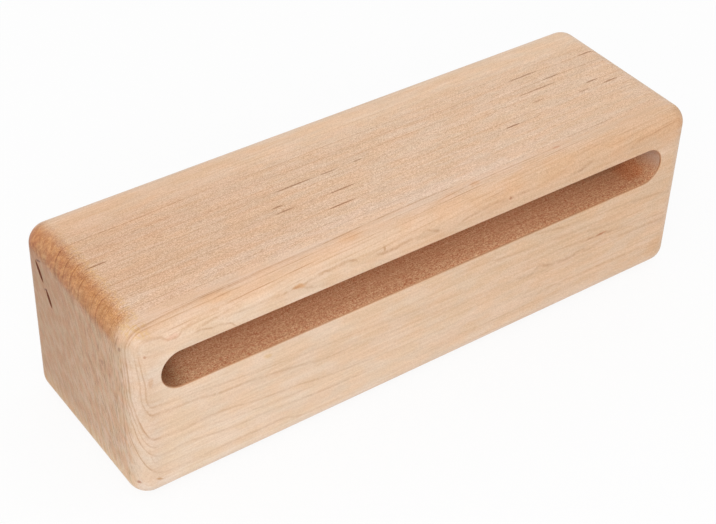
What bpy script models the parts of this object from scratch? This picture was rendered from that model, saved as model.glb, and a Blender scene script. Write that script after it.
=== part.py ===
"""Solid maple wood block: one piece of wood with a long slot milled into its front. Metres, +Z up.

+X runs along the block, the slotted front faces -Y, and the base lies on Z = 0, centred on the origin.
Every size below can be set by itself.
"""

import math

import bmesh
import bpy

MM = 0.001

# The billet, planed square
LENGTH = 206 * MM
DEPTH = 63.5 * MM
HEIGHT = 62.5 * MM

# The round-over on all twelve edges, which meet in ball corners
EDGE_RADIUS = 6.5 * MM
EDGE_STEPS = 10

# The slot, as high as its cutter is thick, and the walls left round it
SLOT_HEIGHT = 12.9 * MM
TOP_WALL = 10.5 * MM
LEFT_WALL = 9.6 * MM
RIGHT_WALL = 11.4 * MM
BACK_WALL = 13.5 * MM
SLOT_END_STEPS = 24

# The slot's mouth, sanded just enough to break its sharp edge
MOUTH_RADIUS = 0.5 * MM
MOUTH_STEPS = 3

# How far the cutter stands out of the front face, and the merge distance for its caps
CUTTER_OVERHANG = 5 * MM
WELD = 0.001 * MM

# Material slots of the block
OUTSIDE = 0
SLOT_WALLS = 1


def clear_scene():
    for obj in list(bpy.data.objects):
        bpy.data.objects.remove(obj, do_unlink=True)


def new_collection(name):
    collection = bpy.data.collections.new(name)
    bpy.context.scene.collection.children.link(collection)
    return collection


def wood(name, color, roughness):
    material = bpy.data.materials.new(name)
    material.use_nodes = True
    material.diffuse_color = (*color, 1)
    shader = material.node_tree.nodes["Principled BSDF"]
    shader.inputs["Base Color"].default_value = (*color, 1)
    shader.inputs["Roughness"].default_value = roughness
    shader.inputs["Metallic"].default_value = 0
    return material


def billet(collection):
    """The squared billet, with every edge rounded over."""
    mesh = bpy.data.meshes.new("maple_block")
    bm = bmesh.new()
    bmesh.ops.create_cube(bm, size=1)
    bmesh.ops.scale(bm, vec=(LENGTH, DEPTH, HEIGHT), verts=bm.verts)
    bmesh.ops.translate(bm, vec=(0, 0, HEIGHT / 2), verts=bm.verts)
    bm.to_mesh(mesh)
    bm.free()
    block = bpy.data.objects.new("maple_block", mesh)
    collection.objects.link(block)
    round_over = block.modifiers.new("Round-over", "BEVEL")
    round_over.width = EDGE_RADIUS
    round_over.segments = EDGE_STEPS
    return block


def slot_outline():
    """The slot seen from the front, in X and Z: the round ends that a cutter leaves, joined by straights."""
    radius = SLOT_HEIGHT / 2
    middle = HEIGHT - TOP_WALL - radius
    right = LENGTH / 2 - RIGHT_WALL - radius
    left = -LENGTH / 2 + LEFT_WALL + radius
    points = []
    for centre, start in ((right, -math.pi / 2), (left, math.pi / 2)):
        for step in range(SLOT_END_STEPS + 1):
            angle = start + math.pi * step / SLOT_END_STEPS
            points.append((centre + radius * math.cos(angle), middle + radius * math.sin(angle)))
    return points


def slot_cutter(collection, materials):
    """The space that the milling cutter sweeps, from in front of the block to the slot's back wall."""
    front = -DEPTH / 2 - CUTTER_OVERHANG
    back = DEPTH / 2 - BACK_WALL
    outline = slot_outline()
    curve = bpy.data.curves.new("slot_outline", "CURVE")
    curve.dimensions = "2D"
    curve.fill_mode = "BOTH"
    curve.extrude = (back - front) / 2
    spline = curve.splines.new("POLY")
    spline.points.add(len(outline) - 1)
    for point, (x, z) in zip(spline.points, outline):
        point.co = (x, z, 0, 1)
    spline.use_cyclic_u = True
    sketch = bpy.data.objects.new("slot_outline", curve)
    sketch.location.y = (front + back) / 2
    sketch.rotation_euler.x = math.pi / 2
    collection.objects.link(sketch)

    graph = bpy.context.evaluated_depsgraph_get()
    mesh = bpy.data.meshes.new_from_object(sketch.evaluated_get(graph))
    mesh.name = "slot_cutter"
    bm = bmesh.new()
    bm.from_mesh(mesh)
    bmesh.ops.remove_doubles(bm, verts=bm.verts, dist=WELD)
    bmesh.ops.recalc_face_normals(bm, faces=bm.faces)
    for face in bm.faces:
        face.material_index = SLOT_WALLS
    bm.to_mesh(mesh)
    bm.free()
    for material in materials:
        mesh.materials.append(material)
    cutter = bpy.data.objects.new("slot_cutter", mesh)
    cutter.matrix_world = sketch.matrix_world
    cutter.hide_render = True
    cutter.display_type = "WIRE"
    collection.objects.link(cutter)
    bpy.data.objects.remove(sketch, do_unlink=True)
    return cutter


def apply_modifiers(obj):
    graph = bpy.context.evaluated_depsgraph_get()
    mesh = bpy.data.meshes.new_from_object(obj.evaluated_get(graph))
    mesh.name = obj.name
    obj.modifiers.clear()
    obj.data = mesh


def ease_slot_mouth(block):
    """Rounds the edge where the slot's walls meet the outside, all the way round the mouth."""
    bm = bmesh.new()
    bm.from_mesh(block.data)
    mouth = []
    for edge in bm.edges:
        if {face.material_index for face in edge.link_faces} == {OUTSIDE, SLOT_WALLS}:
            mouth.append(edge)
    bmesh.ops.bevel(
        bm,
        geom=mouth,
        offset=MOUTH_RADIUS,
        segments=MOUTH_STEPS,
        profile=0.5,
        affect="EDGES",
        material=OUTSIDE,
    )
    bm.to_mesh(block.data)
    bm.free()


def wood_block():
    materials = [
        wood("maple_finished", (0.72, 0.52, 0.36), 0.45),
        wood("maple_milled", (0.48, 0.27, 0.15), 0.75),
    ]
    block = billet(new_collection("wood_block"))
    for material in materials:
        block.data.materials.append(material)
    cut = block.modifiers.new("Slot", "BOOLEAN")
    cut.operation = "DIFFERENCE"
    cut.solver = "EXACT"
    cut.object = slot_cutter(new_collection("cutters"), materials)
    apply_modifiers(block)
    ease_slot_mouth(block)
    block.data.shade_smooth()
    block.data.set_sharp_from_angle(angle=math.radians(35))


clear_scene()
wood_block()
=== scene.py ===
"""Looks of the maple wood block: solid hard maple under a satin clear coat, with a bare milled slot.

The block is modelled in metres in the CAD's frame: +X along the block, the slotted front to -Y, the base
on Z = 0. Its wood is worked out in millimetres of the tree that the block was cut from: along the grain,
across the growth rings and round them. So each ring runs on from one side of the block to the next.
"""

import math

import bmesh
import bpy
from mathutils import Matrix, Vector


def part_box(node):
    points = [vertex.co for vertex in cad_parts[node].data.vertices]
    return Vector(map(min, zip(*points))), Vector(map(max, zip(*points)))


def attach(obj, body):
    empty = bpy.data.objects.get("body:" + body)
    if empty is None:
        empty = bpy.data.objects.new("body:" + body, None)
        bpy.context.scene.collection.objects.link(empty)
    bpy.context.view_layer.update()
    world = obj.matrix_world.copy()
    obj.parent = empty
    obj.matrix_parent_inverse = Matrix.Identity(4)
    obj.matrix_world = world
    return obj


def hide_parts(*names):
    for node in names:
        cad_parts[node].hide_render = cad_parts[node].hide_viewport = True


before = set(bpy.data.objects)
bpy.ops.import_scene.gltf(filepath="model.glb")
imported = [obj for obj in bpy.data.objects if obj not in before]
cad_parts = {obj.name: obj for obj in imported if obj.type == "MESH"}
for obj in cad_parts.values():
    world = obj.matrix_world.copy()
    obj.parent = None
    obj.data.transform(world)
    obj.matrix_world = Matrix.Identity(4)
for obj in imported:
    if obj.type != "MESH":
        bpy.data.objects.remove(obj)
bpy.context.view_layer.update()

MM = 0.001

# The block's box as packed, its round-over, the slot and the walls left round it, and its eased mouth
LOW, HIGH = (Vector(corner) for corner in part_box("maple_block"))
EDGE_RADIUS = 6.5 * MM
EDGE_STEPS = 24
SLOT_HEIGHT = 12.9 * MM
TOP_WALL = 10.5 * MM
LEFT_WALL = 9.6 * MM
RIGHT_WALL = 11.4 * MM
BACK_WALL = 13.5 * MM
SLOT_STEPS = 96
MOUTH_RADIUS = 0.5 * MM
MOUTH_STEPS = 5
CUTTER_OVERHANG = 5 * MM
SHARP_ANGLE = math.radians(35)

# Material slots of the block
FINISHED = 0
MILLED = 1

# The camera: turned round the block's middle, then slid so that the block sits where the photograph has it
FRAME_WIDTH = 716
FOCAL_PIXELS = 1691.3
SENSOR_WIDTH = 36
CAMERA_AZIMUTH = math.radians(-36.58)
CAMERA_ELEVATION = math.radians(38.78)
CAMERA_ROLL = math.radians(2.11)
CAMERA_DISTANCE = 532.4 * MM
BLOCK_RIGHT_OF_AXIS = 4.2 * MM
BLOCK_ABOVE_AXIS = 6.3 * MM

# The studio, in metres and watts. A whiteness or light of 1 is white.
FLOOR_SIZE = 12
FLOOR_WHITENESS = 0.88
ROOM_LIGHT = 0.8
SOFTBOX_PLACE = Vector((-0.9, -1.1, 1.1))
SOFTBOX_SIZE = 0.9
SOFTBOX_POWER = 12

# The block in millimetres, as are all sizes and places in the tables and materials below
LEFT = LOW.x / MM
RIGHT = HIGH.x / MM
FRONT = LOW.y / MM
HEIGHT = HIGH.z / MM

# How the growth rings stand. Near the front they are upright, and bend to the front face below the slot.
# Towards the back they lean over more and more.
TOP_LEAN = 0.06
TOP_LEAN_TO = 45
TOP_LEAN_BLEND = 3
BEND = 0.21
BEND_FROM = 40
BEND_FALLS_FROM = -29
BEND_BLEND = 3
LOW_BEND = 0.13
LOW_BEND_FROM = 24
LOW_BEND_BLEND = 4
LEAN_PER_MM = 0.0145
LEAN_STARTS = -28
LEAN_BLEND = 1

# How far the rings drift sideways with each millimetre along the block
BACK_DRIFT = 0.012
FRONT_DRIFT = 0.0035
FRONT_DRIFT_PER_MM = 0.00042
DRIFT_CHANGES = (-8, -24)

# Waves of the grain: their sizes along the block, across it and upwards, and how far each moves the rings
WANDER = ((48, 14, 14), 0.6)
WAVER = ((10, 6, 6), 0.28)
QUIVER = ((3, 3, 3), 0.12)

# The same for the lines of the front's loose figure, and for the outlines of patches
FIGURE_RUFFLE = ((1.8, 1.8, 1.8), 1)
PATCH_RUFFLE = ((2.5, 2.5, 2.5), 1.2)

# The wood's structure: sizes along the grain, across the rings and round them
FIBRE_SIZES = (30, 0.6, 0.9)
FLECK_SIZES = (0.38, 0.34, 0.42)
PORE_SIZES = (1.5, 0.22, 0.22)
END_DASH_SIZES = (2, 0.38, 3.2)
COLOR_CHANGE_SIZES = (10, 3, 5)
RING_PATCH_SIZES = (14, 0.9, 30)
RING_BREAK_SIZES = (1.8, 0.8, 30)
STREAK_GRAIN_SIZES = (0.9, 0.7, 0.9)
BURNISH_MOTTLE_SIZES = (2.4, 1.6, 1.2)
BURNISH_SPOT_SIZES = (0.9, 0.9, 0.9)
TORN_FIBRE_SIZES = (0.5, 0.3, 0.3)

# Where the brown of the sanded end edges begins and is full: out from its middle, up, and in from the front
BURNISH_MIDDLE = 2
BURNISH_OUT = (97.2, 102.3)
BURNISH_UP = (53.2, 57.8)
BURNISH_IN = (-27, -20)

# The surface: how rough planed and milled wood are, the coat, and the depth of pores and of torn fibres
PLANED_ROUGHNESS = 0.42
MILLED_ROUGHNESS = 0.7
COAT_WEIGHT = 0.15
COAT_ROUGHNESS = 0.35
PORE_DEPTH = 0.03
TORN_FIBRE_DEPTH = 0.08

# Rings that show on the top: half thickness, and their course as places along the block and from front to
# back, each with its darkness
TOP_RINGS = (
    (0.35, ((-97, 13.7, 0.6), (-90, 13.9, 0.7), (-77, 14.0, 0.8), (-68, 14.5, 0.7), (-55, 15.0, 0.6),
            (-42, 15.0, 0.5), (-33, 14.5, 0.4), (-20, 14.4, 0.5), (0, 14.7, 0.5), (15, 14.7, 0.4),
            (30, 15.2, 0.3), (50, 15.5, 0.3), (75, 15.7, 0.3), (97, 15.8, 0.3))),
    (0.33, ((-97, 8.6, 0.5), (-85, 8.9, 0.5), (-75, 9.6, 0.5), (-60, 9.8, 0.4), (-30, 9.9, 0.4),
            (-5, 9.7, 0.3), (10, 10.2, 0.3), (30, 10.6, 0.3), (50, 11.1, 0.3), (60, 12.0, 0.4),
            (70, 12.5, 0.4), (85, 12.0, 0.3), (97, 12.2, 0.5))),
    (0.30, ((-97, 4.5, 0.5), (-80, 4.7, 0.5), (-70, 5.1, 0.5), (-55, 5.5, 0.5), (-20, 5.7, 0.3),
            (10, 6.1, 0.5), (45, 6.2, 0.3), (55, 6.7, 0.4), (73, 7.1, 0.7), (97, 6.9, 0.4))),
    (0.25, ((-60, 3.1, 0.0), (-45, 3.1, 0.3), (-20, 3.0, 0.5), (0, 3.2, 0.3), (40, 3.6, 0.2), (70, 3.9, 0.4),
            (90, 4.0, 0.2))),
    (0.28, ((-97, -0.8, 0.5), (-85, -0.4, 0.4), (-70, -0.1, 0.4), (-45, -0.1, 0.3), (-20, 0.4, 0.3),
            (30, 1.0, 0.3), (60, 1.2, 0.3), (90, 1.5, 0.2))),
    (0.25, ((-97, -5.4, 0.3), (-80, -5.0, 0.4), (-70, -4.5, 0.4), (-60, -3.8, 0.3), (-45, -3.6, 0.4),
            (-30, -3.5, 0.3), (20, -3.6, 0.4), (60, -2.2, 0.2), (90, -1.8, 0.3))),
    (0.28, ((-97, -8.5, 0.4), (-85, -8.0, 0.4), (-65, -7.2, 0.3), (-55, -6.5, 0.4), (-40, -6.2, 0.5),
            (-20, -6.2, 0.5), (0, -6.0, 0.3), (30, -5.6, 0.3), (90, -4.9, 0.3))),
    (0.28, ((-97, -11.5, 0.5), (-80, -11.2, 0.5), (-62, -10.5, 0.4), (-50, -9.8, 0.4), (-20, -9.9, 0.3),
            (20, -9.0, 0.3), (45, -8.3, 0.4), (80, -8.4, 0.3))),
    (0.25, ((-97, -15.2, 0.3), (-60, -13.8, 0.3), (-45, -12.9, 0.3), (-25, -12.5, 0.5), (-5, -12.3, 0.3),
            (40, -11.5, 0.2), (90, -10.5, 0.3))),
    (0.25, ((-97, -15.9, 0.3), (-75, -15.1, 0.3), (-55, -14.9, 0.3), (-8, -15.0, 0.3), (30, -14.5, 0.3),
            (75, -15.9, 0.3))),
    (0.28, ((-97, -20.0, 0.3), (-75, -19.5, 0.6), (-58, -18.5, 0.5), (-40, -18.2, 0.3), (0, -17.0, 0.3),
            (60, -16.4, 0.2))),
    (0.28, ((-97, -22.7, 0.4), (-80, -22.1, 0.4), (-65, -21.5, 0.5), (-50, -20.9, 0.4), (-30, -20.4, 0.3),
            (0, -19.7, 0.5), (10, -19.6, 0.3), (70, -19.0, 0.2))),
    (0.38, ((-96, -27.7, 0.7), (-90, -27.0, 0.6), (-83, -26.6, 0.7), (-78, -26.3, 0.8), (-69, -26.1, 0.8),
            (-65, -26.0, 0.5), (-55, -25.5, 0.5), (-40, -25.1, 0.4), (-34, -24.9, 0.8), (-24, -24.3, 0.8),
            (-20, -24.1, 0.3), (-16, -23.9, 0.8), (0, -23.45, 0.8), (10, -23.4, 0.8), (14, -23.3, 0.3),
            (30, -22.95, 0.4), (45, -22.5, 0.3), (60, -22.3, 0.3), (69, -22.2, 0.4), (72, -22.1, 0.8),
            (76, -21.9, 0.7), (80, -21.7, 0.3), (97, -21.3, 0.3))),
    (0.33, ((1, -27.2, 0.0), (6, -26.4, 0.5), (10, -26.0, 0.7), (20, -25.3, 0.7), (30, -25.0, 0.7),
            (50, -24.6, 0.6), (56, -24.5, 0.3), (70, -24.3, 0.0))),
)

# Rings that show on the front, below the slot, and run up round its left edge: half thickness, and their
# course as places along the block and heights, each with its darkness
FRONT_RINGS = (
    (0.14, ((-96, 35.7, 0.5), (-90, 35.0, 0.4), (-80, 34.1, 0.3), (-70, 32.9, 0.4), (-60, 31.9, 0.4),
            (-50, 31.1, 0.4), (-40, 30.8, 0.4), (-30, 30.2, 0.3), (-10, 28.5, 0.2), (30, 25.5, 0.0))),
    (0.21, ((-96.5, 32.8, 0.6), (-90, 32.3, 0.5), (-85, 32.0, 0.5), (-80, 31.2, 0.7), (-75, 30.3, 0.8),
            (-70, 30.0, 0.7), (-60, 29.0, 0.6), (-55, 28.3, 0.8), (-50, 27.6, 0.7), (-45, 26.5, 0.6),
            (-38, 25.3, 0.7), (-30, 25.2, 0.4), (-10, 24.0, 0.3), (25, 22.0, 0.2), (35, 21.8, 0.0))),
    (0.23, ((-97.5, 23.6, 0.7), (-90, 22.6, 0.5), (-87, 22.4, 0.5), (-84, 22.9, 0.5), (-77, 23.2, 0.5),
            (-72, 22.6, 0.6), (-65, 21.4, 0.6), (-55, 20.1, 0.7), (-50, 19.9, 0.5), (-45, 19.0, 0.7),
            (-35, 17.8, 0.5), (-25, 17.0, 0.5), (0, 15.5, 0.3), (40, 14.6, 0.2), (80, 14.4, 0.4),
            (97, 14.0, 0.3))),
    (0.21, ((-98, 20.5, 0.5), (-95, 20.0, 0.4), (-88, 20.1, 0.5), (-80, 19.9, 0.4), (-75, 18.9, 0.5),
            (-70, 18.5, 0.5), (-65, 18.0, 0.5), (-60, 17.3, 0.4), (-50, 16.8, 0.4), (-40, 16.3, 0.2),
            (-20, 15.0, 0.0))),
    (0.25, ((-97.5, 17.4, 0.5), (-95, 16.5, 0.4), (-87, 17.0, 0.5), (-80, 16.0, 0.6), (-70, 14.7, 0.5),
            (-60, 14.5, 0.5), (-50, 13.8, 0.5), (-40, 12.9, 0.6), (-30, 12.6, 0.5), (-10, 11.5, 0.3),
            (20, 9.8, 0.3), (35, 9.4, 0.3), (60, 9.0, 0.1), (90, 8.2, 0.2))),
    (0.27, ((-98, 11.2, 0.5), (-95, 9.6, 0.5), (-90, 8.9, 0.5), (-75, 9.0, 0.5), (-60, 8.7, 0.5),
            (-53, 8.7, 0.5), (-50, 7.4, 0.6), (-47, 6.7, 0.5), (-35, 6.3, 0.3), (-10, 5.0, 0.2))),
    (0.25, ((-99, 26.0, 0.4), (-97, 14.0, 0.3), (-90, 12.5, 0.0))),
)

# The loose figure of the flat-cut front: half width in millimetres of height, and the course of each line
FIGURE = (
    (0.82, ((-98, 59.9, 0.3), (-94, 59.2, 0.4), (-92, 58.4, 0.7), (-90, 57.3, 0.7), (-88, 57.2, 0.6),
            (-86.5, 58.4, 0.6), (-84, 58.9, 0.6), (-80, 59.4, 0.4), (-73, 60.0, 0.3), (-60, 60.6, 0.3))),
    (0.71, ((-82.5, 57.0, 0.4), (-78, 57.9, 0.6), (-74, 58.5, 0.6), (-66, 59.2, 0.0))),
    (0.61, ((-82.5, 56.6, 0.6), (-79, 56.1, 0.9), (-76, 55.4, 0.6), (-73, 55.1, 0.6), (-71.5, 54.6, 0.8),
            (-70.3, 53.6, 0.8), (-69.4, 52.2, 0.6))),
    (0.71, ((-76, 57.4, 0.0), (-70, 57.2, 0.4), (-65, 56.9, 0.4), (-60, 57.1, 0.4), (-53, 56.8, 0.9),
            (-47, 57.3, 1.0), (-44, 57.6, 0.6), (-40, 58.1, 0.9), (-36, 58.3, 0.9), (-33, 58.5, 0.8),
            (-30, 58.1, 0.8), (-28.4, 57.2, 0.8), (-28, 56.0, 0.0))),
    (1.02, ((-49, 56.9, 0.4), (-45, 55.3, 0.6), (-42, 54.2, 0.4), (-38, 53.4, 0.3), (-33, 53.0, 0.0))),
    (0.82, ((-22, 56.6, 0.5), (-17, 56.3, 1.0), (-15, 56.3, 1.0), (-13, 56.7, 1.0), (-11, 57.0, 1.0),
            (-6, 56.9, 0.4), (-4, 57.9, 0.5), (-2, 57.0, 1.0), (0, 56.2, 1.0), (2, 55.8, 0.0))),
    (0.82, ((7, 57.0, 0.0), (8.5, 55.4, 0.8), (10, 56.2, 0.8), (13, 56.5, 0.8), (16, 56.8, 1.0),
            (18, 57.0, 0.6), (21, 57.3, 0.6), (28, 56.8, 0.6), (33, 57.0, 0.8), (36, 56.8, 0.0))),
    (0.92, ((52, 56.2, 0.0), (56, 56.4, 1.0), (58, 57.0, 1.0), (60, 57.6, 0.6), (62, 58.0, 0.0))),
    (1.13, ((34, 22.8, 0.3), (40, 21.9, 0.5), (43, 23.9, 0.5), (46, 22.8, 0.7), (51, 22.1, 0.7),
            (57, 21.7, 0.8), (60, 22.6, 0.8), (64, 21.7, 0.5), (70, 22.6, 0.5), (77, 21.6, 0.5),
            (91, 20.8, 0.7), (99, 20.2, 0.3))),
    (0.71, ((44, 27.4, 0.0), (52, 27.0, 0.4), (60, 26.4, 0.6), (65, 25.8, 1.0), (69, 26.0, 1.0),
            (72, 25.3, 0.8), (82, 24.5, 0.4), (98, 22.8, 0.4))),
    (0.92, ((36, 13.3, 0.2), (47, 12.5, 0.5), (50, 12.8, 0.5), (53, 12.1, 0.5), (56, 12.6, 0.5),
            (60, 12.0, 0.2), (66, 12.3, 0.5), (75, 12.2, 0.5), (85, 11.6, 0.3), (98, 10.0, 0.3))),
    (0.82, ((50, 30.2, 0.0), (60, 29.8, 0.3), (66, 29.0, 0.5), (80, 28.6, 0.2), (98, 27.5, 0.3))),
    (0.82, ((8, 35.9, 0.0), (18, 35.4, 0.4), (25, 34.5, 0.6), (35, 33.4, 0.4), (45, 32.6, 0.3),
            (60, 31.9, 0.4), (78, 31.0, 0.3))),
    (0.82, ((40, 38.0, 0.3), (48, 36.6, 0.6), (60, 35.0, 0.3), (80, 34.0, 0.4), (98, 31.5, 0.6))),
)

# The places across the rings between which their courses run
ACROSS_RANGE = (-40, 40)

# The other growth rings: spacing, half thickness and darkness
PLAIN_RINGS = (
    (2.4, 0.18, 0.28),
    (0.9, 0.12, 0.25),
)

# Short dark streaks on the top: from and to along the block, place from front to back, and darkness
TOP_STREAKS = (
    (-98.0, -91.0, 1.5, 0.9),
    (-39.0, -36.0, -3.4, 0.8),
    (-39.5, -34.0, -6.1, 0.7),
    (-34.5, -20.5, 3.0, 0.8),
    (-17.5, -12.5, 3.0, 0.7),
    (-5.5, -3.0, 3.2, 0.6),
    (-21.0, -12.0, -6.2, 0.8),
    (-25.5, -16.0, -12.4, 0.9),
    (61.5, 75.0, 12.4, 0.7),
    (92.0, 98.5, 12.2, 0.7),
    (73.0, 78.5, 7.2, 0.7),
    (59.0, 76.5, 3.9, 0.7),
    (61.5, 65.5, -1.5, 0.5),
    (83.5, 88.0, -1.8, 0.8),
    (78.0, 81.5, -4.8, 0.5),
    (88.5, 94.0, -4.8, 0.8),
    (45.0, 50.0, -8.2, 1.0),
)
TOP_STREAK_HALF_WIDTH = 0.36
TOP_STREAK_DEPTH = 3

# How far the faint tips of a streak on the top reach past its ends
STREAK_TAPER = 0.9

# Dark streaks on the left end: place from front to back, height, half length and darkness
END_STREAKS = (
    (21.1, 51.0, 4.9, 1.0),
    (16.3, 44.0, 4.0, 1.0),
)
END_STREAK_HALF_WIDTH = 1.5
END_STREAK_DEPTH = 2

# Patches and specks of another shade: middle, reach each way, slope, and the shade that they give the wood.
# The last two are painted shade on the right end's round corners, which turn away from the light.
PATCHES = (
    ((-59.2, FRONT, 36.2), (2.2, 3, 1.2), -0.2, (0.93, 0.86, 0.70)),
    ((-97.0, FRONT, 45.2), (1.2, 3, 2.6), 0, (0.90, 0.80, 0.70)),
    ((-89.5, FRONT, 57.9), (3.0, 4, 1.0), 0, (0.95, 0.84, 0.80)),
    ((-48.5, FRONT, 57.0), (3.0, 3, 1.1), -0.1, (0.90, 0.72, 0.53)),
    ((-74.0, -27.5, 62.0), (9.0, 2.4, 3), 0, (0.98, 0.92, 0.84)),
    ((-28.0, -26.0, 62.0), (6.0, 2.2, 3), 0, (0.97, 0.90, 0.80)),
    ((18.5, -25.6, 62.0), (3.0, 1.2, 3), 0, (0.95, 0.84, 0.72)),
    ((51.3, -24.7, 62.0), (2.0, 0.7, 3), 0, (0.88, 0.70, 0.64)),
    ((69.0, FRONT, 25.9), (3.6, 3, 0.55), 0, (0.86, 0.62, 0.48)),
    ((-19.0, FRONT, 57.6), (0.8, 3, 1.3), 0, (0.80, 0.70, 0.58)),
    ((28.0, FRONT, 56.8), (0.8, 3, 0.6), 0, (0.74, 0.56, 0.46)),
    ((-98.2, FRONT, 54.9), (0.6, 3, 0.8), 0, (0.76, 0.62, 0.56)),
    ((-96.0, FRONT, 7.4), (1.6, 3, 0.6), -0.5, (0.72, 0.56, 0.40)),
    ((-101.3, -29.4, 7.3), (1.0, 1.0, 0.8), 0, (0.66, 0.46, 0.40)),
    ((-102.8, -26.2, 55.9), (1.5, 0.9, 1.1), -0.6, (0.66, 0.58, 0.56)),
    ((LEFT, 20.9, 54.8), (3, 2.2, 0.7), -0.6, (0.40, 0.26, 0.20)),
    ((LEFT, 17.8, 46.2), (3, 1.6, 0.7), -0.6, (0.45, 0.32, 0.26)),
    ((LEFT, 26.0, 51.0), (3, 4.0, 6.0), 0, (0.97, 0.90, 0.92)),
    ((LEFT, 26.5, 59.5), (5, 6.0, 5.0), 0, (0.94, 0.80, 0.70)),
    ((LEFT, -14.8, 43.2), (3, 2.2, 1.0), -0.4, (0.82, 0.78, 0.76)),
    ((LEFT, -26.0, 31.0), (1.5, 0.7, 24.0), 0, (0.84, 0.79, 0.74)),
    # Painted shade on the right end's top front corner, turned away from the light
    ((102.5, -29.0, 58.0), (7.0, 8.0, 12.0), 0, (0.93, 0.86, 0.73)),
    # Painted shade low on the right end's front corner, turned away from the light
    ((100.0, FRONT, 9.0), (12.0, 6.0, 8.0), 0, (0.93, 0.86, 0.76)),
)


def select_only(obj):
    bpy.ops.object.select_all(action="DESELECT")
    obj.select_set(True)
    bpy.context.view_layer.objects.active = obj


def select_where(obj, kind, wanted):
    """In edit mode, selects the vertices, edges or faces that wanted() accepts, and nothing else."""
    bpy.ops.mesh.select_mode(type=kind)
    bpy.ops.mesh.select_all(action="DESELECT")
    bm = bmesh.from_edit_mesh(obj.data)
    for part in {"VERT": bm.verts, "EDGE": bm.edges, "FACE": bm.faces}[kind]:
        part.select_set(wanted(part))
    bm.select_flush_mode()
    bmesh.update_edit_mesh(obj.data)


def apply_modifier(obj, name, kind, **settings):
    modifier = obj.modifiers.new(name, kind)
    for setting, value in settings.items():
        setattr(modifier, setting, value)
    select_only(obj)
    bpy.ops.object.modifier_apply(modifier=name)


def billet():
    """The planed billet, with its twelve edges rounded over into ball corners."""
    bpy.ops.object.select_all(action="DESELECT")
    bpy.ops.mesh.primitive_cube_add(size=1)
    block = bpy.context.object
    block.name = "maple_body"
    block.data.name = "maple_body"
    bpy.ops.object.mode_set(mode="EDIT")
    bpy.ops.transform.resize(value=HIGH - LOW)
    bpy.ops.transform.translate(value=(LOW + HIGH) / 2)
    bpy.ops.mesh.select_mode(type="EDGE")
    bpy.ops.mesh.bevel(offset=EDGE_RADIUS, segments=EDGE_STEPS, profile=0.5, affect="EDGES")
    bpy.ops.object.mode_set(mode="OBJECT")
    return block


def slot_cutter():
    """What the round cutter sweeps: a cylinder, with its right half pulled along to the slot's far end. The
    middles of its flats lie on the cutter's radius, so that the straight walls stand exactly in place."""
    radius = SLOT_HEIGHT / 2
    left = LOW.x + LEFT_WALL + radius
    right = HIGH.x - RIGHT_WALL - radius
    front = LOW.y - CUTTER_OVERHANG
    back = HIGH.y - BACK_WALL
    half_step = math.pi / SLOT_STEPS
    bpy.ops.object.select_all(action="DESELECT")
    bpy.ops.mesh.primitive_cylinder_add(
        vertices=SLOT_STEPS,
        radius=radius / math.cos(half_step),
        depth=back - front,
        location=(left, (front + back) / 2, HIGH.z - TOP_WALL - radius),
        rotation=(math.pi / 2, half_step, 0),
    )
    cutter = bpy.context.object
    bpy.ops.object.transform_apply(location=True, rotation=True, scale=True)
    bpy.ops.object.mode_set(mode="EDIT")
    select_where(cutter, "VERT", lambda vertex: vertex.co.x > left)
    bpy.ops.transform.translate(value=(right - left, 0, 0))
    bpy.ops.object.mode_set(mode="OBJECT")
    return cutter


def mill_slot(block, materials):
    """Cuts the slot, and eases the edge round its mouth."""
    cutter = slot_cutter()
    for piece in (block, cutter):
        for material in materials:
            piece.data.materials.append(material)
    for face in cutter.data.polygons:
        face.material_index = MILLED
    apply_modifier(block, "Slot", "BOOLEAN", operation="DIFFERENCE", solver="EXACT", object=cutter)
    bpy.data.objects.remove(cutter)
    bpy.ops.object.mode_set(mode="EDIT")
    select_where(
        block,
        "EDGE",
        lambda edge: {face.material_index for face in edge.link_faces} == {FINISHED, MILLED},
    )
    bpy.ops.mesh.bevel(
        offset=MOUTH_RADIUS, segments=MOUTH_STEPS, profile=0.5, affect="EDGES", material=FINISHED
    )
    bpy.ops.object.mode_set(mode="OBJECT")


def wood_block():
    materials = [finished_maple(), milled_maple()]
    block = billet()
    mill_slot(block, materials)
    select_only(block)
    bpy.ops.object.shade_smooth_by_angle(angle=SHARP_ANGLE)
    apply_modifier(block, "Even shading", "WEIGHTED_NORMAL", keep_sharp=True)
    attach(block, "root")
    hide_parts("maple_block")


class Signal:
    """An output of a shader tree. Arithmetic on it adds Math nodes, so that a pattern reads as a formula."""

    def __init__(self, socket):
        self.socket = socket

    def __add__(self, other):
        return arithmetic("ADD", self, other)

    def __sub__(self, other):
        return arithmetic("SUBTRACT", self, other)

    def __rsub__(self, other):
        return arithmetic("SUBTRACT", other, self)

    def __mul__(self, other):
        return arithmetic("MULTIPLY", self, other)

    def __truediv__(self, other):
        return arithmetic("DIVIDE", self, other)

    def __abs__(self):
        return arithmetic("ABSOLUTE", self)

    __radd__ = __add__
    __rmul__ = __mul__


def feed(socket, value):
    """Links a signal to a socket, or sets it to a plain value. A plain colour is red, green and blue."""
    if isinstance(value, Signal):
        socket.id_data.links.new(value.socket, socket)
    elif socket.type == "RGBA":
        socket.default_value = (*value, 1)
    else:
        socket.default_value = value


def tree_of(values):
    return next(value.socket.id_data for value in values if isinstance(value, Signal))


def arithmetic(operation, *values):
    node = tree_of(values).nodes.new("ShaderNodeMath")
    node.operation = operation
    for socket, value in zip(node.inputs, values):
        feed(socket, value)
    return Signal(node.outputs[0])


def vector_arithmetic(operation, *values):
    """A Vector Math node. Length gives a number, and the rest give a vector."""
    node = tree_of(values).nodes.new("ShaderNodeVectorMath")
    node.operation = operation
    if operation == "SCALE":
        feed(node.inputs["Vector"], values[0])
        feed(node.inputs["Scale"], values[1])
    else:
        for socket, value in zip(node.inputs, values):
            feed(socket, value)
    return Signal(node.outputs["Value" if operation == "LENGTH" else "Vector"])


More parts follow.
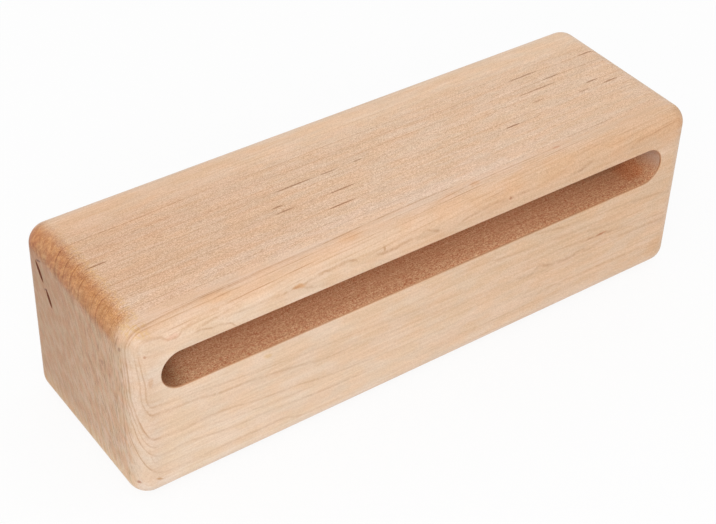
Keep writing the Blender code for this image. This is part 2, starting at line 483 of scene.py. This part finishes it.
def at_least(value, floor):
    if isinstance(value, Signal):
        return arithmetic("MAXIMUM", value, floor)
    return max(value, floor)


def at_most(value, ceiling):
    if isinstance(value, Signal):
        return arithmetic("MINIMUM", value, ceiling)
    return min(value, ceiling)


def softly_positive(value, blend):
    """The value where it is above 0, and else 0, with the change rounded off over the blend's width."""
    if isinstance(value, Signal):
        return arithmetic("SMOOTH_MAX", value, 0, blend)
    return max(value, 0) + max(blend - abs(value), 0) ** 3 / (6 * blend**2)


def rise(value, start, end):
    """0 at start and 1 at end, with a smooth step between them. The end may be below the start."""
    if isinstance(value, Signal):
        node = tree_of([value]).nodes.new("ShaderNodeMapRange")
        node.interpolation_type = "SMOOTHSTEP"
        feed(node.inputs["Value"], value)
        node.inputs["From Min"].default_value = start
        node.inputs["From Max"].default_value = end
        return Signal(node.outputs["Result"])
    share = min(max((value - start) / (end - start), 0), 1)
    return share * share * (3 - 2 * share)


def split(vector):
    node = tree_of([vector]).nodes.new("ShaderNodeSeparateXYZ")
    feed(node.inputs[0], vector)
    return [Signal(socket) for socket in node.outputs]


def join(*parts):
    node = tree_of(parts).nodes.new("ShaderNodeCombineXYZ")
    for socket, value in zip(node.inputs, parts):
        feed(socket, value)
    return Signal(node.outputs[0])


def noise_outputs(vector, sizes, detail, roughness):
    node = tree_of([vector]).nodes.new("ShaderNodeTexNoise")
    feed(node.inputs["Vector"], vector_arithmetic("DIVIDE", vector, sizes))
    node.inputs["Scale"].default_value = 1
    node.inputs["Detail"].default_value = detail
    node.inputs["Roughness"].default_value = roughness
    return node.outputs


def noise(vector, sizes, detail=2, roughness=0.5):
    """Smooth noise round 0.5, whose lumps have these sizes."""
    return Signal(noise_outputs(vector, sizes, detail, roughness)["Fac"])


def three_noises(vector, sizes, detail=2, roughness=0.5):
    """Three smooth noises at once, in the parts of one vector."""
    return Signal(noise_outputs(vector, sizes, detail, roughness)["Color"])


def stray(place, sizes, reach, detail=2):
    """A smooth, uneven shift to either side, by up to half of this reach."""
    return (noise(place, sizes, detail) - 0.5) * reach


def blended(blend_type, first, second, amount):
    """A Mix node for colours. Its sockets go by number, because some of their names come more than once."""
    node = tree_of([first, second, amount]).nodes.new("ShaderNodeMix")
    node.data_type = "RGBA"
    node.blend_type = blend_type
    share, color_a, color_b = (node.inputs[index] for index in (0, 6, 7))
    feed(share, amount)
    feed(color_a, first)
    feed(color_b, second)
    return Signal(node.outputs[2])


def tint(color, shade, amount):
    """Multiplies a colour by a shade, as far as the amount says."""
    return blended("MULTIPLY", color, shade, amount)


def mixed(first, second, amount):
    """A colour between two colours."""
    return blended("MIX", first, second, amount)


def new_group(name, inputs, outputs):
    """A shader node group with these sockets, its input signals by name, and its output node."""
    group = bpy.data.node_groups.new(name, "ShaderNodeTree")
    for direction, sockets in (("INPUT", inputs), ("OUTPUT", outputs)):
        for socket_name, kind in sockets.items():
            group.interface.new_socket(socket_name, in_out=direction, socket_type="NodeSocket" + kind)
    source = group.nodes.new("NodeGroupInput")
    signals = {socket.name: Signal(socket) for socket in source.outputs if socket.name}
    return group, signals, group.nodes.new("NodeGroupOutput")


def use_group(tree, group, **values):
    """Places a group in a tree, with its inputs given by name, and returns its outputs by name."""
    node = tree.nodes.new("ShaderNodeGroup")
    node.node_tree = group
    for name, value in values.items():
        feed(node.inputs[name.capitalize()], value)
    return {socket.name: Signal(socket) for socket in node.outputs}


def tree_place(x, y, z):
    """From millimetres of the block to millimetres of the tree: along the grain, across the rings and round
    them. It takes signals as well as numbers."""
    inward = softly_positive(y - LEAN_STARTS, LEAN_BLEND)
    bend_from = BEND_FROM + at_most(y - BEND_FALLS_FROM, 0)
    near_front = rise(y, *DRIFT_CHANGES)
    drift = BACK_DRIFT + near_front * (FRONT_DRIFT - BACK_DRIFT + FRONT_DRIFT_PER_MM * z)
    below_top = HEIGHT - z
    lean = TOP_LEAN * (below_top - softly_positive(TOP_LEAN_TO - z, TOP_LEAN_BLEND))
    lean = lean + BEND * softly_positive(bend_from - z, BEND_BLEND)
    lean = lean + LOW_BEND * softly_positive(LOW_BEND_FROM - z, LOW_BEND_BLEND)
    across = y + lean + LEAN_PER_MM * inward * below_top - drift * (x - LEFT)
    around = z + LEAN_PER_MM / 2 * inward * inward
    return x, across, around


def course(along, points, low, high):
    """A smooth curve through points of place along the block and value, with every value from low to high."""
    node = tree_of([along]).nodes.new("ShaderNodeFloatCurve")
    feed(node.inputs["Value"], (along - LEFT) / (RIGHT - LEFT))
    mapping = node.mapping
    mapping.extend = "HORIZONTAL"
    scaled = []
    for place, value in points:
        scaled.append(((place - LEFT) / (RIGHT - LEFT), (value - low) / (high - low)))
    curve = mapping.curves[0].points
    curve[0].location = scaled[0]
    curve[1].location = scaled[-1]
    for place, value in scaled[1:-1]:
        curve.new(place, value)
    mapping.update()
    return Signal(node.outputs["Value"]) * (high - low) + low


def growth_group():
    """Where a point of the block lies in the tree, with the wander of the grain and without it."""
    outputs = {"Grain": "Vector", "Even": "Vector"}
    group, given, result = new_group("Growth", {"Place": "Vector"}, outputs)
    block_mm = vector_arithmetic("SCALE", given["Place"], 1 / MM)
    along, across, around = tree_place(*split(block_mm))
    wander = stray(block_mm, *WANDER, detail=1)
    waver = stray(block_mm, *WAVER)
    quiver = stray(block_mm, *QUIVER)
    feed(result.inputs["Grain"], join(along, across + wander + waver, around))
    feed(result.inputs["Even"], join(along, across + quiver, around))
    return group


def plain_rings(grain, y, z):
    """The lines of the rings that have no drawn course, and the tone of the wood between the widest."""
    nodes = tree_of([grain]).nodes
    across = split(grain)[1]
    patchy = rise(noise(grain, RING_PATCH_SIZES), 0.3, 0.65)
    tones = []
    lines = 0
    for spacing, thickness, strength in PLAIN_RINGS:
        cells = nodes.new("ShaderNodeTexVoronoi")
        borders = nodes.new("ShaderNodeTexVoronoi")
        borders.feature = "DISTANCE_TO_EDGE"
        for node in (cells, borders):
            node.voronoi_dimensions = "1D"
            feed(node.inputs["W"], across / spacing)
            node.inputs["Scale"].default_value = 1
        darkness, tone, _ = split(Signal(cells.outputs["Color"]))
        tones.append(tone)
        edge = rise(Signal(borders.outputs["Distance"]), thickness / spacing, 0)
        lines = lines + edge * darkness * patchy * strength
    top_front_edge = rise(z, 57, 59) * rise(y, -24, -27)
    below_lip = rise(z, 52, 48) * rise(y, -29, -31)
    back_face = rise(y, 27, 31) * rise(z, 58, 50)
    shown = 1 + 3 * top_front_edge - 0.85 * below_lip + 1.6 * back_face
    return lines * shown, tones[0]


def drawn_rings(rings, along, across, place_in_tree):
    """The lines of rings whose course is drawn on one side of the block."""
    lines = 0
    for thickness, points in rings:
        places = [(x, place_in_tree(x, other)[1]) for x, other, _ in points]
        darkness = course(along, [(x, dark) for x, _, dark in points], 0, 1)
        apart = abs(across - course(along, places, *ACROSS_RANGE))
        lines = at_least(rise(apart, thickness, 0) * darkness, lines)
    return lines


def front_figure(along, height):
    """The loose figure of the flat-cut front. A height that strays a little makes its lines uneven."""
    lines = 0
    for thickness, points in FIGURE:
        darkness = course(along, [(x, dark) for x, _, dark in points], 0, 1)
        first, last = points[0][0], points[-1][0]
        shown = rise(along, first - 1, first + 1) * rise(along, last + 1, last - 1)
        apart = abs(height - course(along, [(x, z) for x, z, _ in points], 0, HEIGHT))
        lines = at_least(rise(apart, thickness, 0) * darkness * shown, lines)
    return lines


def rings_group():
    """The late wood of each growth ring, as thin dark lines, and the tone of the wood between them."""
    inputs = {"Place": "Vector", "Grain": "Vector", "Even": "Vector"}
    group, given, result = new_group("Rings", inputs, {"Lines": "Float", "Tone": "Float"})
    along, even_across, _ = split(given["Even"])
    block_mm = vector_arithmetic("SCALE", given["Place"], 1 / MM)
    _, y, z = split(block_mm)
    broken = rise(noise(given["Grain"], RING_BREAK_SIZES, 3), 0.35, 0.6)
    dashed = 0.5 + 0.5 * broken
    lines, tone = plain_rings(given["Grain"], y, z)

    near_top = at_least(rise(z, 50, 60), rise(y, -27, -25) * rise(z, 12, 50) * 0.7)
    top_lines = drawn_rings(TOP_RINGS, along, even_across, lambda x, y: tree_place(x, y, HEIGHT))
    lines = at_least(lines, top_lines * near_top * dashed)

    round_left_edge = rise(along, -95, -99)
    near_front = (1 - near_top) * (0.9 + 0.7 * round_left_edge)
    front_lines = drawn_rings(FRONT_RINGS, along, even_across, lambda x, z: tree_place(x, FRONT, z))
    lines = at_least(lines, front_lines * near_front * dashed)

    on_front = rise(y, -28, -30)
    figure = front_figure(along, z + stray(block_mm, *FIGURE_RUFFLE, detail=3))
    lines = at_least(lines, figure * on_front * (0.4 + 0.6 * broken))
    feed(result.inputs["Lines"], lines)
    feed(result.inputs["Tone"], tone)
    return group


def fibre_group():
    """The fine structure: fibres along the grain, ray flecks, pores, the dashes of the end grain, and two
    slow changes of colour."""
    outputs = ("Streaks", "Flecks", "Pores", "Ends", "Warmth", "Greyness")
    group, given, result = new_group("Fibre", {"Grain": "Vector"}, {name: "Float" for name in outputs})
    grain = given["Grain"]
    feed(result.inputs["Streaks"], rise(noise(grain, FIBRE_SIZES, 2, 0.6), 0.3, 0.7))
    feed(result.inputs["Flecks"], rise(noise(grain, FLECK_SIZES, 2, 0.6), 0.3, 0.7))
    feed(result.inputs["Pores"], rise(noise(grain, PORE_SIZES, 1), 0.55, 0.75))
    feed(result.inputs["Ends"], rise(noise(grain, END_DASH_SIZES), 0.52, 0.7))
    warmth, greyness, _ = split(three_noises(grain, COLOR_CHANGE_SIZES))
    feed(result.inputs["Warmth"], rise(warmth, 0.35, 0.65))
    feed(result.inputs["Greyness"], rise(greyness, 0.35, 0.65))
    return group


def streaks_group():
    """Dark mineral streaks, where this block has them."""
    group, given, result = new_group("Mineral streaks", {"Even": "Vector"}, {"Mask": "Float"})
    even = given["Even"]
    marks = []
    for start, end, y, darkness in TOP_STREAKS:
        middle = tree_place((start + end) / 2, y, HEIGHT)
        half_length = (end - start) / 2 + STREAK_TAPER
        marks.append((middle, (half_length, TOP_STREAK_HALF_WIDTH, TOP_STREAK_DEPTH), darkness))
    for y, z, half_length, darkness in END_STREAKS:
        middle = tree_place(LEFT, y, z)
        marks.append((middle, (END_STREAK_DEPTH, END_STREAK_HALF_WIDTH, half_length), darkness))
    solid = rise(noise(even, STREAK_GRAIN_SIZES, 1), 0.2, 0.6)
    mask = 0
    for middle, sizes, darkness in marks:
        offset = vector_arithmetic("DIVIDE", vector_arithmetic("SUBTRACT", even, middle), sizes)
        mask = at_least(rise(vector_arithmetic("LENGTH", offset), 1, 0.65) * darkness, mask)
    feed(result.inputs["Mask"], mask * (0.65 + 0.35 * solid))
    return group


class Wood:
    """The wood at each point of a surface: its place on the block in millimetres, how the surface cuts the
    tree there, and the structure that shows."""

    def __init__(self, tree):
        coordinates = tree.nodes.new("ShaderNodeTexCoord")
        place = Signal(coordinates.outputs["Object"])
        normal = Signal(coordinates.outputs["Normal"])
        growth = use_group(tree, GROWTH, place=place)
        self.grain = growth["Grain"]
        self.even = growth["Even"]
        self.rings = use_group(tree, RING_LINES, place=place, grain=self.grain, even=self.even)
        self.fibre = use_group(tree, FIBRE, grain=self.grain)
        facing = vector_arithmetic("MULTIPLY", normal, normal)
        self.end_facing, self.flat_cut, self.quarter_cut = split(facing)
        self.place_mm = vector_arithmetic("SCALE", place, 1 / MM)
        self.x, self.y, self.z = split(self.place_mm)


def new_material(name):
    """A material, its shader, and the wood that it shows."""
    material = bpy.data.materials.new(name)
    material.use_nodes = True
    tree = material.node_tree
    return material, tree.nodes["Principled BSDF"], Wood(tree)


def relief(shader, height, depth_mm, strength):
    """Bump from a height of 0 to 1 that stands for this many millimetres."""
    node = shader.id_data.nodes.new("ShaderNodeBump")
    node.inputs["Strength"].default_value = strength
    node.inputs["Distance"].default_value = depth_mm * MM
    feed(node.inputs["Height"], height)
    feed(shader.inputs["Normal"], Signal(node.outputs["Normal"]))


def planed_faces(wood):
    """The wood's colour: quarter cut on the top, paler to the right and to the front, and flat cut on the
    front face, darker to the right. The changes along the block are partly the wood's own tone and partly
    painted light."""
    x, y = wood.x, wood.y
    # Partly painted light: the top grows paler to the right, as if more light fell there
    top = mixed((0.825, 0.566, 0.393), (0.878, 0.648, 0.478), rise(x, -100, 15))
    top_front = mixed((0.893, 0.653, 0.493), (0.908, 0.688, 0.538), rise(x, -80, 0))
    near_front = rise(y, -10, -21) * rise(x, 75, 20)
    top = mixed(top, top_front, near_front)
    near_back = rise(y - 10 * rise(x, 50, 0), 8, 31) * 0.6
    top = mixed(top, (0.865, 0.648, 0.475), near_back)
    # Partly painted light: the front grows darker to the right, away from the light at the left
    front = mixed((0.835, 0.660, 0.518), (0.775, 0.560, 0.400), rise(x, LEFT, RIGHT))
    return mixed(front, top, wood.quarter_cut)


def shaded_front(color, wood):
    """Broad shades of the front: over and under the slot, down its left edge, along its foot, and on the
    front part of the top. The lighter foot is painted light bounced up from the floor."""
    x, y, z = wood.x, wood.y, wood.z
    over_slot = mixed((0.985, 0.955, 0.93), (0.93, 0.845, 0.755), rise(x, -95, 40))
    color = tint(color, over_slot, rise(z, 48, 55) * rise(y, -23, -30))
    under_slot = mixed((0.985, 0.96, 0.94), (0.94, 0.90, 0.84), rise(x, -60, 60))
    color = tint(color, under_slot, rise(z, 16, 34) * rise(z, 50, 45) * rise(y, -29, -31))
    left_edge = rise(x, -90, -98) * rise(y, -25, -28)
    color = tint(color, (0.93, 0.93, 0.95), left_edge)
    # Painted light: the foot of the front is lightened, as by light bounced up from the floor
    foot = rise(z, 8.5, 5) * rise(y, -28, -31)
    color = tint(color, (1.03, 1.08, 1.13), foot)
    top_front = wood.quarter_cut * rise(y, -20, -26)
    return tint(color, (0.94, 0.92, 0.90), top_front)


def burnish(wood):
    """How far sanding has browned the wood, along the top edge of each end, and less at the right one."""
    x, y, z = wood.x, wood.y, wood.z
    ragged = wood.fibre["Flecks"] - 0.5
    burnished = rise(abs(x - BURNISH_MIDDLE) + ragged, *BURNISH_OUT) * rise(z + ragged, *BURNISH_UP)
    return burnished * rise(y + ragged, *BURNISH_IN) * (1 - 0.5 * rise(x, 80, 98))


def end_grain(color, wood, end_cut, burnished):
    """End grain is darker, more so to the top and the back, and less at its foot, which is lightened with
    painted light bounced up from the floor.
    """
    y, z = wood.y, wood.z
    shade = mixed((0.78, 0.69, 0.63), (0.70, 0.585, 0.495), rise(z, 14, 54))
    # Painted light: the foot is lightened, as by light bounced up from the floor
    shade = mixed((1.0, 0.98, 0.90), shade, rise(z, 3, 13))
    shade = tint(shade, (0.76, 0.68, 0.60), rise(y, -30, 30))
    return tint(color, shade, end_cut * (1 - 0.35 * burnished) * (1 - 0.2 * rise(y, -21, -28)))


def browned_edges(color, wood, burnished):
    """The burnish, in brown with lighter mottles, and the yellow spots along its border on the top."""
    x, y, z = wood.x, wood.y, wood.z
    browned = mixed((0.70, 0.465, 0.24), (0.63, 0.375, 0.205), rise(y, -20, 10))
    mottles = rise(noise(wood.grain, BURNISH_MOTTLE_SIZES, 3), 0.35, 0.68)
    color = tint(color, mixed(browned, (0.85, 0.61, 0.37), mottles), burnished)
    spots = rise(noise(wood.grain, BURNISH_SPOT_SIZES), 0.4, 0.62)
    border = spots * rise(abs(x - BURNISH_MIDDLE), 96, 98.5) * rise(z, 59, 61) * rise(y, 30, 5)
    return tint(color, (1, 0.96, 0.76), border * (1 - 0.4 * burnished))


def shaded_mouth(color, wood):
    """Darkens the eased edge of the slot's mouth."""
    x, y, z = wood.x, wood.y, wood.z
    behind_face = rise(y, FRONT, FRONT + 0.15) * rise(y, -30, -31)
    mouth = behind_face * rise(z, 55, 54) * rise(z, 36, 38) * rise(abs(x), 96, 95)
    return tint(color, (0.72, 0.56, 0.43), mouth)


def with_patches(color, place_mm):
    """Tints the wood by each of the patches, of which the last two are painted shade. Places stray a little,
    so that none is a plain ellipse.
    """
    sizes, width = PATCH_RUFFLE
    shift = vector_arithmetic("SUBTRACT", three_noises(place_mm, sizes), (0.5, 0.5, 0.5))
    x, y, z = split(vector_arithmetic("ADD", place_mm, vector_arithmetic("SCALE", shift, width)))
    for (middle_x, middle_y, middle_z), reach, slope, shade in PATCHES:
        right = x - middle_x
        back = y - middle_y
        up = z - middle_z
        offset = vector_arithmetic("DIVIDE", join(right, back, up - (right + back) * slope), reach)
        color = tint(color, shade, rise(vector_arithmetic("LENGTH", offset), 1, 0.3))
    return color


def with_structure(color, wood, end_cut, burnished):
    """Lays the wood's structure over its colour. The fibres' sides show along the grain, and their ends, as
    short dashes, on the end grain."""
    x, y = wood.x, wood.y
    fibre = wood.fibre
    along_grain = 1 - end_cut
    color = tint(color, (1, 0.95, 0.88), fibre["Warmth"])
    color = tint(color, (0.95, 0.84, 0.77), fibre["Warmth"] * end_cut)
    color = tint(color, (0.955, 0.975, 0.97), fibre["Greyness"])
    color = tint(color, (0.98, 1.0, 0.93), fibre["Greyness"] * end_cut)
    color = tint(color, (0.97, 0.95, 0.93), wood.rings["Tone"] * along_grain)
    color = tint(color, (0.93, 0.89, 0.85), fibre["Streaks"] * along_grain)
    shown = 0.9 - 0.35 * wood.flat_cut * along_grain + 1.1 * burnished
    color = tint(color, (0.58, 0.39, 0.22), wood.rings["Lines"] * shown)

    calm_front = (0.65 - 0.2 * rise(x, -60, 60)) * rise(y, -20, -26)
    quiet = (1 - 0.5 * rise(y, 10, 26)) * (1 - calm_front)
    speckle = mixed((1.055, 1.07, 1.085), (0.705, 0.615, 0.545), fibre["Flecks"])
    color = tint(color, speckle, (1 - 0.4 * end_cut) * quiet)
    pores = fibre["Pores"] * along_grain * (1 - 0.4 * wood.flat_cut) * quiet
    color = tint(color, (0.82, 0.76, 0.70), pores)
    dashes = fibre["Ends"] * end_cut * (0.6 + 0.4 * rise(y, 20, -25))
    return tint(color, (0.56, 0.45, 0.35), dashes)


def finished_maple():
    """Sanded maple under a thin satin coat. Mineral streaks in the end grain are dull."""
    material, shader, wood = new_material("finished_maple")
    streaks = use_group(material.node_tree, STREAKS, even=wood.even)["Mask"]
    end_cut = wood.end_facing * wood.end_facing * wood.end_facing
    dull = streaks * end_cut
    burnished = burnish(wood)

    color = shaded_front(planed_faces(wood), wood)
    color = end_grain(color, wood, end_cut, burnished)
    color = browned_edges(color, wood, burnished)
    color = shaded_mouth(color, wood)
    color = with_patches(color, wood.place_mm)
    color = with_structure(color, wood, end_cut, burnished)
    color = tint(color, (0.46, 0.29, 0.15), streaks)
    color = tint(color, (0.52, 0.22, 0.02), dull)
    feed(shader.inputs["Base Color"], color)

    fibre = wood.fibre
    roughness = PLANED_ROUGHNESS + 0.1 * fibre["Streaks"] + 0.1 * end_cut + dull
    feed(shader.inputs["Roughness"], at_most(roughness, 1))
    shader.inputs["IOR"].default_value = 1.45
    feed(shader.inputs["Coat Weight"], COAT_WEIGHT * (1 - dull))
    shader.inputs["Coat Roughness"].default_value = COAT_ROUGHNESS
    relief(shader, 1 - fibre["Pores"] * 0.6 - fibre["Flecks"] * 0.4, PORE_DEPTH, strength=0.6)
    return material


def milled_maple():
    """Bare wood as the cutter left it, darker and duller, with torn fibres, and painted shade at the slot's
    left end and deep in its right part.
    """
    material, shader, wood = new_material("milled_maple")
    x, y, z = wood.x, wood.y, wood.z
    torn = noise(wood.grain, TORN_FIBRE_SIZES, 2, 0.6)

    hollows = (0.60, 0.19, 0.08)
    ridges = (1.0, 0.76, 0.485)
    color = mixed(hollows, ridges, rise(torn, 0.3, 0.7))
    near_mouth = rise(y, -20, -25) * rise(y, -32, -29)
    color = tint(color, (0.92, 0.91, 0.90), near_mouth)
    right_part = rise(x, 20, 80)
    color = tint(color, (0.92, 0.88, 0.85), right_part)
    # Painted shade at the slot's left end, where its end wall and lip shut out the light
    shaded_left_end = rise(x, -82, -89)
    color = tint(color, (0.64, 0.57, 0.50), shaded_left_end)
    glow = rise(y, -29, -26) * rise(y, -17, -21) * rise(z, 42, 40) * rise(x, 79, 85)
    color = tint(color, (0.98, 0.80, 0.68), glow)
    # Painted shade deep in the right part of the slot, under its top wall
    shaded_deep_right = rise(x, 62, 72) * rise(x, 90, 84) * rise(y, -22, -18)
    color = tint(color, (0.80, 0.82, 0.80), shaded_deep_right)
    right_end = wood.end_facing * rise(z, 40, 47) * rise(x, 0, 1)
    color = mixed(color, (0.69, 0.51, 0.40), right_end)

    color = tint(color, (0.70, 0.58, 0.48), wood.rings["Lines"] * 0.6)
    color = tint(color, (0.80, 0.70, 0.62), wood.fibre["Pores"])
    color = tint(color, (0.90, 0.82, 0.76), wood.fibre["Flecks"])
    color = tint(color, (0.88, 0.82, 0.76), wood.fibre["Streaks"])
    feed(shader.inputs["Base Color"], color)

    feed(shader.inputs["Roughness"], MILLED_ROUGHNESS + 0.2 * torn)
    shader.inputs["IOR"].default_value = 1.4
    relief(shader, torn, TORN_FIBRE_DEPTH, strength=0.8)
    return material


def add_camera():
    """The camera at the photograph's viewing angle."""
    turn = CAMERA_AZIMUTH
    tilt = CAMERA_ELEVATION
    forward = Vector((-math.sin(turn) * math.cos(tilt), math.cos(turn) * math.cos(tilt), -math.sin(tilt)))
    level = Vector((math.cos(turn), math.sin(turn), 0))
    upright = level.cross(forward)
    right = level * math.cos(CAMERA_ROLL) + upright * math.sin(CAMERA_ROLL)
    up = upright * math.cos(CAMERA_ROLL) - level * math.sin(CAMERA_ROLL)
    middle = (LOW + HIGH) / 2
    camera = bpy.data.cameras.new("camera")
    camera.sensor_width = SENSOR_WIDTH
    camera.lens = FOCAL_PIXELS / FRAME_WIDTH * SENSOR_WIDTH
    camera.clip_start = 10 * MM
    holder = bpy.data.objects.new("camera", camera)
    holder.matrix_world = Matrix((right, up, -forward)).transposed().to_4x4()
    holder.location = (
        middle - right * BLOCK_RIGHT_OF_AXIS - up * BLOCK_ABOVE_AXIS - forward * CAMERA_DISTANCE
    )
    bpy.context.scene.collection.objects.link(holder)
    bpy.context.scene.camera = holder


def seen_directly(tree):
    """1 for what the camera sees, also in a gloss or through glass, and 0 for light on its way to a
    surface."""
    path = tree.nodes.new("ShaderNodeLightPath")
    names = ("Is Camera Ray", "Is Glossy Ray", "Is Transmission Ray")
    camera, glossy, transmission = (Signal(path.outputs[name]) for name in names)
    return at_least(at_least(camera, glossy), transmission)


def add_floor():
    """A pale floor, which shows white with a faint shadow."""
    bpy.ops.object.select_all(action="DESELECT")
    bpy.ops.mesh.primitive_plane_add(size=FLOOR_SIZE)
    floor = bpy.context.object
    floor.name = "studio_floor"
    material = bpy.data.materials.new("studio_paper")
    material.use_nodes = True
    tree = material.node_tree
    paper = tree.nodes["Principled BSDF"]
    paper.inputs["Base Color"].default_value = (0.9, 0.9, 0.9, 1)
    paper.inputs["Roughness"].default_value = 0.9
    paper.inputs["Specular IOR Level"].default_value = 0
    white = tree.nodes.new("ShaderNodeEmission")
    both = tree.nodes.new("ShaderNodeMixShader")
    feed(both.inputs["Fac"], seen_directly(tree) * FLOOR_WHITENESS)
    tree.links.new(paper.outputs[0], both.inputs[1])
    tree.links.new(white.outputs[0], both.inputs[2])
    tree.links.new(both.outputs[0], tree.nodes["Material Output"].inputs["Surface"])
    floor.data.materials.append(material)


def add_world():
    """Even light from all round, behind a white backdrop."""
    world = bpy.data.worlds.new("studio")
    world.use_nodes = True
    tree = world.node_tree
    background = tree.nodes["Background"]
    feed(background.inputs["Strength"], ROOM_LIGHT + (1 - ROOM_LIGHT) * seen_directly(tree))
    background.inputs["Color"].default_value = (1, 1, 1, 1)
    bpy.context.scene.world = world


def add_softbox():
    """A square softbox that stands to the front and left, and looks at the block."""
    light = bpy.data.lights.new("key_softbox", "AREA")
    light.shape = "SQUARE"
    light.size = SOFTBOX_SIZE
    light.energy = SOFTBOX_POWER
    holder = bpy.data.objects.new("key_softbox", light)
    holder.location = SOFTBOX_PLACE
    holder.rotation_euler = (-SOFTBOX_PLACE).to_track_quat("-Z", "Y").to_euler()
    bpy.context.scene.collection.objects.link(holder)


GROWTH = growth_group()
RING_LINES = rings_group()
FIBRE = fibre_group()
STREAKS = streaks_group()

add_camera()
wood_block()
add_floor()
add_world()
add_softbox()

bpy.context.scene.view_settings.view_transform = "Standard"
